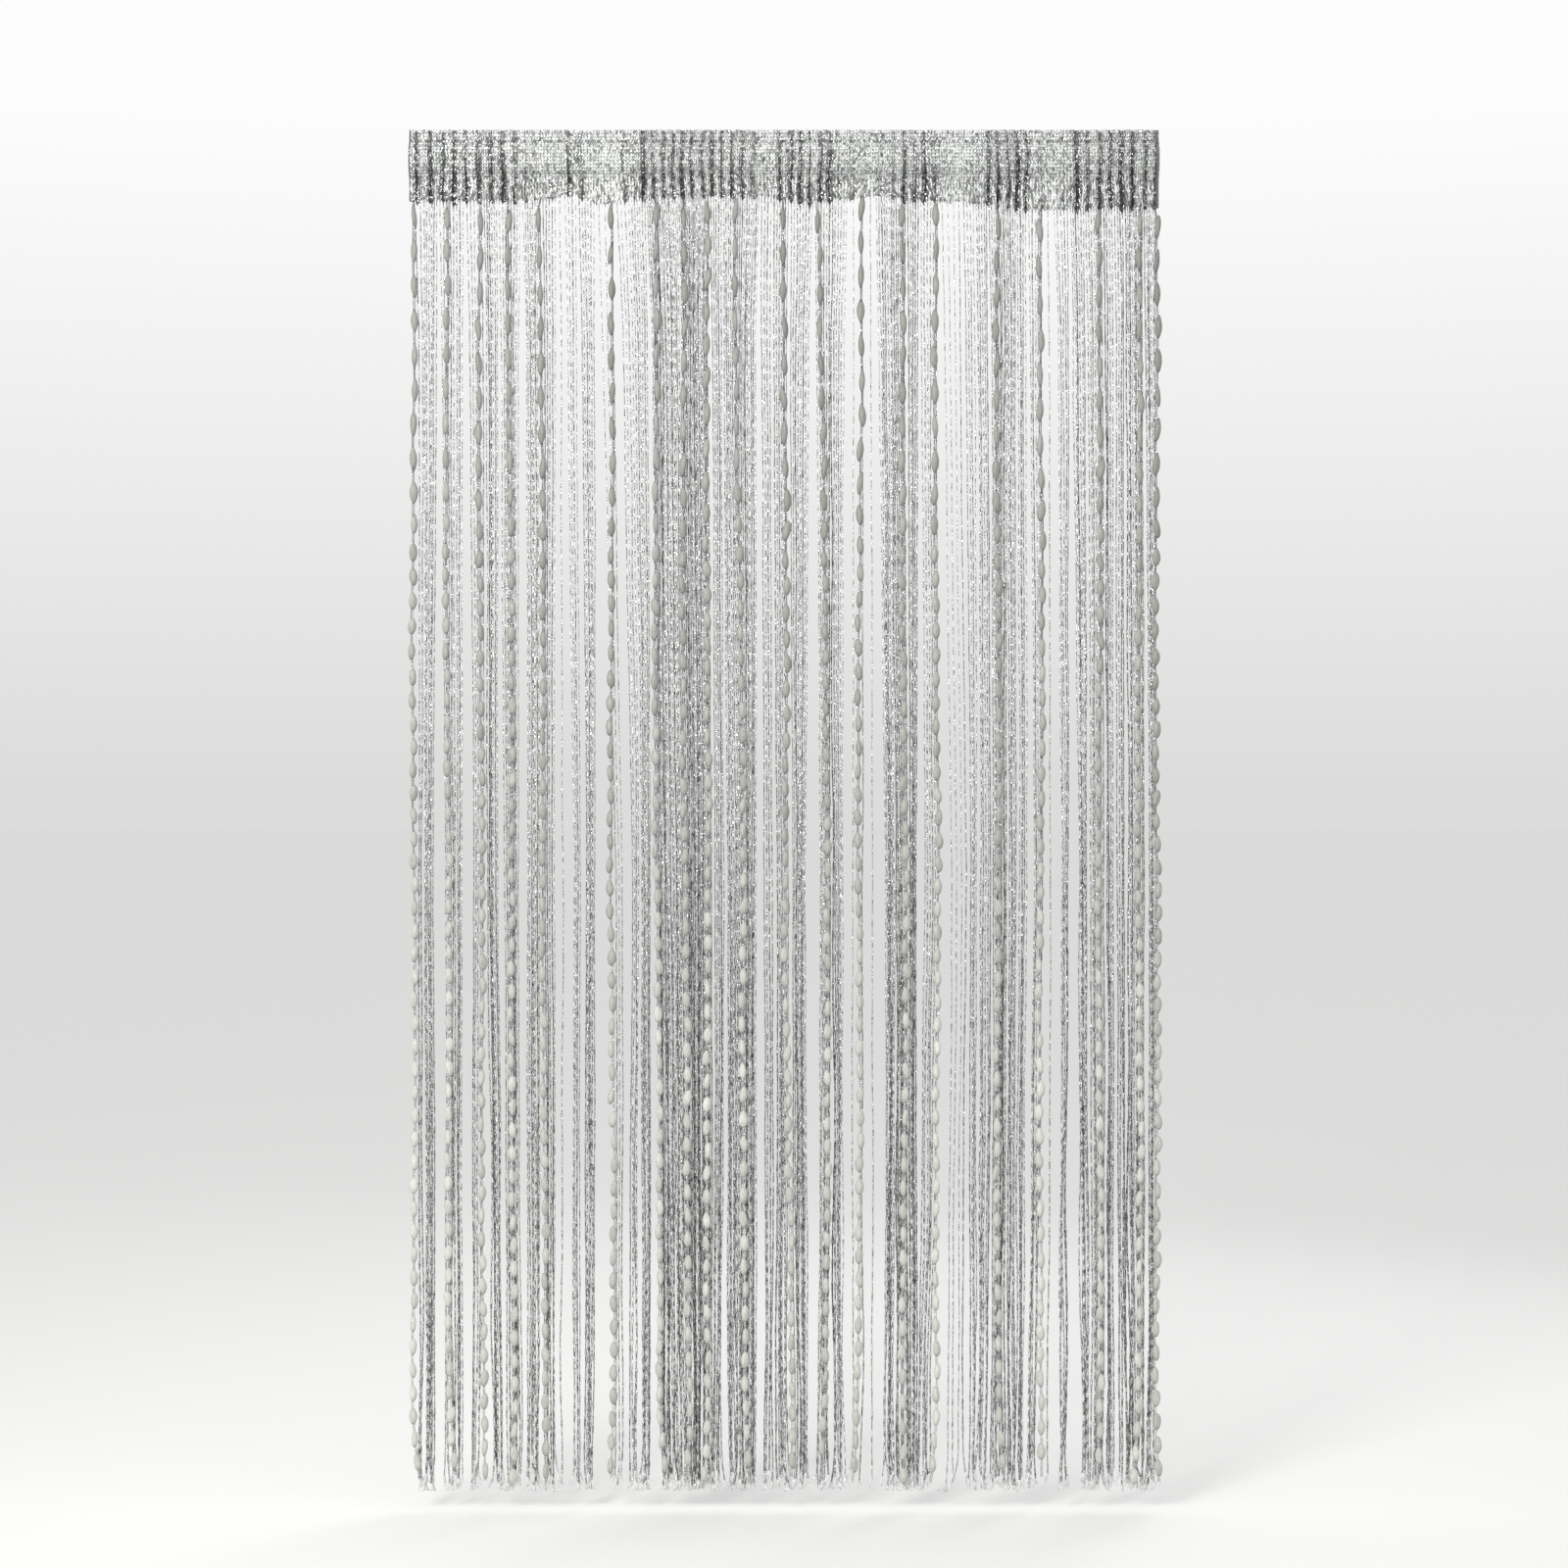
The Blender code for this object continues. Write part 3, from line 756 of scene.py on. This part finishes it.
def build_knit(skin, x, wales):
    """Knit stitches on both sides, a slanting pair a course on each wale, and yarn laid across them."""
    made, last = [], skin.shape[1] - 1
    half = skin.shape[1] // 2
    dark = fold_shape(wales)[3]
    shade = chance.normal(1.43, 0.06, len(wales))
    reach = np.clip(0.5 * np.gradient(wales), 1.0, 2.7)
    courses = np.arange(1.3, half - 0.2, STITCH_RISE)
    grain = chance.normal(0.03, 0.40, (int(2 * HALF_WIDTH / SPECKLE) + 1, len(courses)))

    def column(place):
        return np.interp(place, x, np.arange(len(x)))

    for side, name in ((-1, "front"), (1, "back")):
        def row_at(rows):
            rows = np.clip(rows, 0, half - 1)
            return rows if side < 0 else last - rows

        # Stitches: a low foot, a middle that stands out, and a high foot
        numbers = (-1, 1), np.arange(len(wales)), np.arange(len(courses))
        way, wale, course = np.meshgrid(*numbers, indexing="ij")
        seam = np.abs(courses[course] - 0.6 - SEAM_ROW) < 0.65
        border = courses[course] > BORDER_ROW
        kept = ~(border & ((wale + 2 * course) % 5 == 0))
        kept &= chance.random(kept.shape) > 0.07
        way, wale, course, border, seam = (part[kept] for part in (way, wale, course, border, seam))
        count = len(way)
        spread = way * reach[wale] * np.select([seam, border], [0.35, 1.25], 1.0)
        low_x = wales[wale] + way * 0.12 * reach[wale] + chance.normal(0, STITCH_JITTER, count)
        high_x = wales[wale] + spread + chance.normal(0, STITCH_JITTER, count)
        low_row = courses[course] + chance.normal(0, 0.09, count)
        high_row = low_row - STITCH_RISE - np.where(border, BORDER_LAP, STITCH_LAP)
        low = on_cloth(skin, column(low_x), row_at(low_row))
        high = on_cloth(skin, column(high_x), row_at(high_row))
        low[:, 2] -= np.where(low_row > half - 1.6, chance.uniform(0, 3.0, count), 0)
        mid_column = column((low_x + 2 * high_x) / 3)
        middle = on_cloth(skin, mid_column, row_at((low_row + high_row) / 2))
        left, right = (on_cloth(skin, mid_column + step, row_at(low_row)) for step in (-0.7, 0.7))
        out = unit(-side * np.cross(unit(right - left), unit(high - low)))
        across = unit(np.cross(high - low, out))
        size = STITCH_RADIUS * np.clip(reach[wale] / 1.9, 0.75, 1.3) * chance.uniform(0.8, 1.15, count)
        paths = np.stack([low, middle + out * 0.45, high], axis=1) + 0.25 * out[:, None]
        radius = size[:, None] * np.array([[0.45, 1.0, 0.5]])
        points, quads, uv = laid_yarn(paths, across[:, None], out[:, None], radius)
        # Their tone: painted shade in the valleys, deeper towards the lower edge, a speckle, and here and
        # there an almost black stitch, painted shade of a hole, more often in the valleys
        speckle = grain[((wales[wale] + HALF_WIDTH) // SPECKLE).astype(int), course]
        lowness = np.clip(-middle[:, 2] / HEADING_DROP, 0, 1)
        own = shade[wale] - dark[wale] * (1.0 + 0.62 * lowness)
        own *= np.exp(speckle + chance.normal(0, 0.54, count))
        own *= np.select([seam, border], [0.45, 0.88], 1.0)
        own *= blotched(middle)
        own *= np.where(chance.random(count) < 0.05 + 0.13 * dark[wale], 0.32, 1.0)
        values = {"tone": np.repeat(np.clip(own * darker_below(middle), 0.06, 1.16), STITCH_POINTS)}
        title = f"heading_stitches_{name}"
        made.append(mesh_object(title, points, quads, LOOP_YARN, uv, values))
        # Yarn laid from wale to wale: rows at the seams, in the border and along the edges
        places = column(wales)
        spots = np.interp(np.arange(0, len(wales) - 0.5, 0.5), np.arange(len(wales)), places)
        taller = np.where(LAID_ROWS > 24, 1.5, 1.0)[:, None]
        zigzag = np.where(np.arange(len(spots)) % 2, 0.42, -0.42) * taller
        columns, lines = np.meshgrid(spots, LAID_ROWS, indexing="xy")
        paths = on_cloth(skin, columns, row_at(lines + zigzag))
        paths[..., 1] += side * 0.5
        radius = np.full(paths.shape[:2], LAID_RADIUS)
        points, quads, uv = laid_yarn(paths, np.array([0, 0, side]), np.array([0, side, 0]), radius)
        # Their tone: painted shade in the valleys, and a tone that differs at random
        own = np.interp(spots, places, shade - 0.75 * dark) * 0.8 * chance.uniform(0.6, 1.3, paths.shape[:2])
        values = {"tone": np.repeat((own * darker_below(paths)).ravel(), 3)}
        made.append(mesh_object(f"heading_laid_{name}", points, quads, LOOP_YARN, uv, values))
    return made


# Strings
def between(levels, top, end, depth, bowed=False):
    """Where strings are at given depths, from their places at the heading, near it, midway and at the hem.

    bowed strings leave the heading in a curve."""
    depth = depth[..., None]
    found = levels[0][:, None]
    drops = (top[..., None], NEAR_DROP, BUNCH_DROP, end[..., None])
    for number, (high, low) in enumerate(zip(drops, drops[1:])):
        share = np.clip((depth - high) / (low - high), 0, 1)
        if bowed and number == 0:
            share = share * (2 - share)
        found = found + (levels[number + 1] - levels[number])[:, None] * share
    return found


def build_strings(levels):
    """The plain strings as twisted ovals that stray and sway, and the parted plies at their cut ends."""
    count = levels.shape[1]
    number = np.arange(count)
    top = fold_shape(levels[0][:, 0])[2][:, None] - ROOT_LAP
    short = 13 * (chance.random(count) < 0.25) * chance.random(count)
    end = (HEM_DROP - HEM_UNEVEN * np.sin(2.7 * number) - short)[:, None]
    rings = int((HEM_DROP - HEADING_DROP) / STRING_STEP)
    depth = top + (end - top) * np.linspace(0, 1, rings)[None]
    xy = between(levels, top, end, depth)
    first, second, third, fourth = np.split(chance.uniform(0, 2 * pi, (count, 4)), 4, axis=1)
    bunch = levels[1][:, :1] / 13
    calm = np.clip((depth - top) / 60, 0, 1)
    loose = 0.3 + 0.7 * np.clip((depth - 900) / 1000, 0, 1) ** 2
    stray = np.clip(chance.lognormal(0, 0.55, (count, 1)), 0.4, 3.2)
    sway = 1.3 * np.sin(depth / 150 + bunch) + 0.9 * stray * np.sin(depth / 67 + first)
    xy[..., 0] += calm * loose * sway
    xy[..., 0] += calm * 0.35 * np.sin(depth / 19 + second) * np.sin(depth / 45 + third)
    xy[..., 1] += calm * (0.6 * loose * np.sin(depth / 115 + fourth) + 0.2 * np.sin(depth / 23 + second))
    kick = chance.normal(0, 2.2, (count, 1))
    kick = kick + (chance.random((count, 1)) < 0.08) * chance.normal(0, 8, (count, 1))
    tail = np.clip((depth - end + STRING_TAIL) / STRING_TAIL, 0, 1) ** 2
    xy[..., 0] += np.clip(kick, -11, 11) * tail
    xy[..., 1] += chance.normal(0, 1.5, (count, 1)) * tail
    paths = np.dstack([xy, -depth])
    size = 1 + 0.18 * np.sin(depth / 9.5 + second) * np.sin(depth / 31 + third)
    size *= chance.uniform(0.86, 1.14, (count, 1))
    turn = depth / 11.0 + third
    # Strings with room around them look thinner and paler
    room = np.clip((np.abs(np.gradient(levels[1][:, 0])) - 3.4) / 2.4, 0, 1)
    tone = chance.uniform(0.96, 1.42, count) + 0.24 * room
    # Some strings darker at random: painted shadow from their neighbours
    tone = np.where(chance.random(count) < SHADOWED_SHARE, 0.50 * tone, tone)
    size *= (1 - 0.3 * room)[:, None] * np.interp(depth, *STRING_GIRTH)
    pieces = []
    for part, group in enumerate(np.array_split(number, 2)):
        wide, thin = STRING_WIDE * size[group], STRING_THIN * size[group]
        points, quads, uv, owner = tubes(paths[group], wide, thin, 4, turn[group])
        # Each string's tone, times painted light by depth
        values = {"tone": tone[group][owner] * np.interp(-points[:, 2], *STRING_PAINTED_LIGHT)}
        pieces.append(mesh_object(f"plain_strings_{part + 1}", points, quads, STRING_YARN, uv, values))
    # Frayed cut ends: fine plies that part below each string
    ends, drop = paths[:, -1], np.linspace(0, 1, len(FRAY_RADIUS))[None, :, None]
    plies = []
    for _ in range(FRAY_PLIES):
        lean_x = kick[:, 0] * 0.4 + chance.normal(0, 5.0, count)
        lean = np.column_stack([lean_x, chance.normal(0, 2.5, count)])
        reach = chance.uniform(8, 19, (count, 1))
        line = np.repeat(ends[:, None], len(FRAY_RADIUS), axis=1)
        line[..., :2] += lean[:, None] * drop ** 1.3
        line[..., 2] += 2.0 - (reach + 2.0) * drop[..., 0]
        plies.append(line)
    plies = np.concatenate(plies)
    plies[..., 2] = np.maximum(plies[..., 2], -(HEM_DROP + FRAY_BELOW))
    radius = np.broadcast_to(FRAY_RADIUS[None], plies.shape[:2])
    points, quads, uv, _ = tubes(plies, radius, radius, 3, np.zeros(plies.shape[:2]))
    pieces.append(mesh_object("frayed_ends", points, quads, FRAY_YARN, uv))
    return pieces


def slub_places(start, end, stretch):
    """Depth of each slub's middle and its length: long and far apart above, short and close below."""
    at, found = start, []
    while True:
        pitch = np.interp(at, *SLUB_PITCH) * stretch
        length = pitch * SLUB_SHARE
        if at + length > end - 1:
            return found
        found.append((at + length / 2, length))
        at += pitch * (1 + 0.05 * sin(at * 0.37 + end))


def build_bead_strings():
    """Double cords that come round the heading's edge and hang in front, and the slubs on them."""
    count = len(BEAD_STRINGS)
    levels = [np.array([(place, -BEAD_FRONT) for place in level]) for level in zip(*BEAD_STRINGS)]
    near_share = (NEAR_DROP - HEADING_DROP) / (BUNCH_DROP - HEADING_DROP)
    levels.insert(1, levels[0] + (levels[1] - levels[0]) * near_share)
    stand, _, drop, _ = fold_shape(levels[0][:, 0])
    root_y, top = 1.2 * stand[:, None] - 1.0, drop[:, None] - ROOT_LAP
    end = (HEM_DROP - HEM_UNEVEN * np.sin(1.3 * np.arange(count) + 0.4))[:, None]
    rings = int((HEM_DROP - HEADING_DROP) / CORD_STEP)
    nearer, tail = chance.uniform(-1.5, 2.0, (count, 1)), chance.normal(0, 6.5, (count, 1))
    number = np.arange(count)[:, None]

    def place(depth):
        """Where the cords' middles are at given depths."""
        xy = between(levels, top, end, depth, bowed=True)
        start = np.clip((depth - top) / 18, 0, 1)
        xy[..., 1] = root_y + (xy[..., 1] + nearer - root_y) * start
        sway = 1.8 * np.sin(depth / 170 + number) + 0.8 * np.sin(depth / 43 + 2 * number)
        xy[..., 0] += start * sway
        xy[..., 0] += np.clip(tail, -9, 9) * np.clip((depth - end + CORD_TAIL) / CORD_TAIL, 0, 1) ** 2
        return xy

    depth = top + (end - top) * np.linspace(0, 1, rings)[None]
    middle = place(depth)
    turn = 0.5 * np.sin(depth / 90 + number)
    plies = []
    for way in (-1, 1):
        apart = way * CORD_APART * (1 + 0.25 * np.sin(depth / 21 + way))
        x, y = middle[..., 0] + apart * np.cos(turn), middle[..., 1] + apart * np.sin(turn)
        plies.append(np.dstack([x, y, -depth]))
    paths = np.concatenate(plies)
    size = CORD_RADIUS * (1 + 0.15 * np.sin(np.concatenate([depth, depth + 30]) / 6))
    points, quads, uv, _ = tubes(paths, size, size, 3, np.zeros(paths.shape[:2]))
    # Painted light by depth
    values = {"tone": np.interp(-points[:, 2], *CORD_PAINTED_LIGHT)}
    cords = mesh_object("slub_cords", points, quads, CORD_YARN, uv, values)
    build_slubs(place, top, end, count)
    return cords


def build_slubs(place, top, end, count):
    """Uneven spindles of soft roving, with a groove or two along them, hung a little off the cords."""
    around = np.arange(SLUB_SIDES) / SLUB_SIDES * 2 * pi
    t = (1 - np.cos(np.linspace(0, pi, SLUB_RINGS))) / 2
    off, own = chance.normal(0, 0.7, count), chance.uniform(0.88, 1.12, count)
    points, tones = [], []
    for number in range(count):
        begin = top[number, 0] + 5 + chance.uniform(0, 14)
        for at, length in slub_places(begin, end[number, 0], chance.uniform(0.97, 1.03)):
            centre = place(np.full((count, 1), at))[number, 0]
            wide = SLUB_RADIUS * np.interp(at, *SLUB_GIRTH) * chance.uniform(0.88, 1.1)
            deep = wide * chance.uniform(0.72, 0.88)
            point = np.interp(at, *SLUB_POINT) * chance.uniform(0.9, 1.15)
            swell = np.sin(pi * t ** chance.uniform(0.85, 1.25)) ** point
            swell = (0.14 + 0.86 * swell)[:, None]
            groove = chance.uniform(0, 2 * pi)
            lobes = np.cos(2 * around + groove) + 0.5 * np.cos(3 * around + 2 * groove)
            lobe = 1 - 0.14 * lobes[None] * np.sin(pi * t)[:, None]
            shift = (off[number] + chance.normal(0, 0.6), chance.normal(0, 0.5))
            lean = chance.normal(0, 0.06, 2)
            offset = ((t - 0.5) * length)[:, None]
            twist = around[None] + (t[:, None] - 0.5) * chance.normal(0, 0.5)
            slub = np.zeros((SLUB_RINGS, SLUB_SIDES, 3))
            for axis, radius in ((0, wide * swell * np.cos(twist)), (1, deep * swell * np.sin(twist))):
                slub[..., axis] = centre[axis] + shift[axis] + radius * lobe + lean[axis] * offset
            slub[..., 2] = -at - offset
            points.append(slub)
            # Each slub's own tone, times painted light by depth
            tones.append(own[number] * chance.uniform(0.9, 1.1) * np.interp(at, *SLUB_PAINTED_LIGHT))
    total = len(points)
    index = np.arange(total * SLUB_RINGS * SLUB_SIDES).reshape(total, SLUB_RINGS, SLUB_SIDES)
    faces = [ring_quads(index)]
    for ring in (index[:, 0], index[:, -1][:, ::-1]):
        for k in range(0, SLUB_SIDES - 2, 2):
            faces.append(ring[:, [0, k + 1, k + 2, (k + 3) % SLUB_SIDES]])
    # Painted shade at the slub's ends, most at the lower end
    painted_end_shade = np.repeat(t ** 7 + 0.6 * (1 - t) ** 8, SLUB_SIDES)
    values = {"tone": np.repeat(tones, SLUB_RINGS * SLUB_SIDES), "end_shade": np.tile(painted_end_shade, total)}
    places = np.array(points).reshape(-1, 3)
    mesh_object("slubs", places, np.concatenate(faces), SLUB, None, values)


# Stage, lights and camera
def build_stage():
    """A pale floor that runs into a pale sky at the horizon, and two soft lights."""
    mesh = bpy.data.meshes.new("studio_floor")
    low = -(HEM_DROP + FLOOR_BELOW) * MM
    corners = [(x * FLOOR_SIDE, y * FLOOR_SIDE, low) for x, y in ((-1, -1), (1, -1), (1, 1), (-1, 1))]
    mesh.from_pydata(corners, [], [(0, 1, 2, 3)])
    floor_material, _, _ = material("floor_paint", Base_Color=(0.70, 0.70, 0.695, 1), Roughness=0.9)
    mesh.materials.append(floor_material)
    floor = bpy.data.objects.new("studio_floor", mesh)
    bpy.context.scene.collection.objects.link(floor)
    world = bpy.data.worlds.new("studio_air")
    world.use_nodes = True
    tree = world.node_tree
    way = node(tree, "ShaderNodeTexCoord").outputs["Generated"]
    height = node(tree, "ShaderNodeSeparateXYZ", {"Vector": way}).outputs["Z"]
    sky = mix(tree, ramp(tree, height, 0.0, HORIZON_BAND), HORIZON, ZENITH)
    tree.links.new(sky, tree.nodes["Background"].inputs["Color"])
    tree.nodes["Background"].inputs["Strength"].default_value = 1.0
    bpy.context.scene.world = world
    for name, where, size, power, shade in LIGHTS:
        light = bpy.data.lights.new(name, "AREA")
        light.size, light.energy, light.color = size, power, shade
        light.spread = radians(LIGHT_SPREAD)
        made = bpy.data.objects.new(name, light)
        made.location = where
        aim = Vector((0, 0, AIM_SHARE * HEM_DROP * MM)) - Vector(where)
        made.rotation_euler = aim.to_track_quat("-Z", "Y").to_euler()
        bpy.context.scene.collection.objects.link(made)


def build_camera():
    """A level camera in front of the curtain, which frames it as the photo does."""
    camera = bpy.data.cameras.new("camera")
    camera.sensor_width = SENSOR
    camera.lens = SENSOR * CAMERA_AWAY / (PHOTO_SIDE * PIXEL * MM)
    made = bpy.data.objects.new("camera", camera)
    made.location = (0, -CAMERA_AWAY, -(PHOTO_SIDE / 2 - TOP_PIXEL) * PIXEL * MM)
    made.rotation_euler = (radians(90), 0, 0)
    bpy.context.scene.collection.objects.link(made)
    bpy.context.scene.camera = made
    bpy.context.scene.view_settings.view_transform = "Standard"


levels = plain_levels()
wales = np.sort(np.concatenate([levels[0][:, 0], [s.top for s in BEAD_STRINGS]]))
wales = wales[np.diff(wales, prepend=-HALF_WIDTH) > WALE_APART]
wide = np.diff(wales) > WALE_WIDE
wales = np.sort(np.concatenate([wales, (wales[:-1] + wales[1:])[wide] / 2]))
sheet, skin, columns, arc = build_heading(wales)
knit_pieces = build_knit(skin, columns, wales)
string_pieces = build_strings(levels)
cords = build_bead_strings()
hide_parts("heading")
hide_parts("plain_strings")
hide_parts("bead_strings")
build_stage()
build_camera()
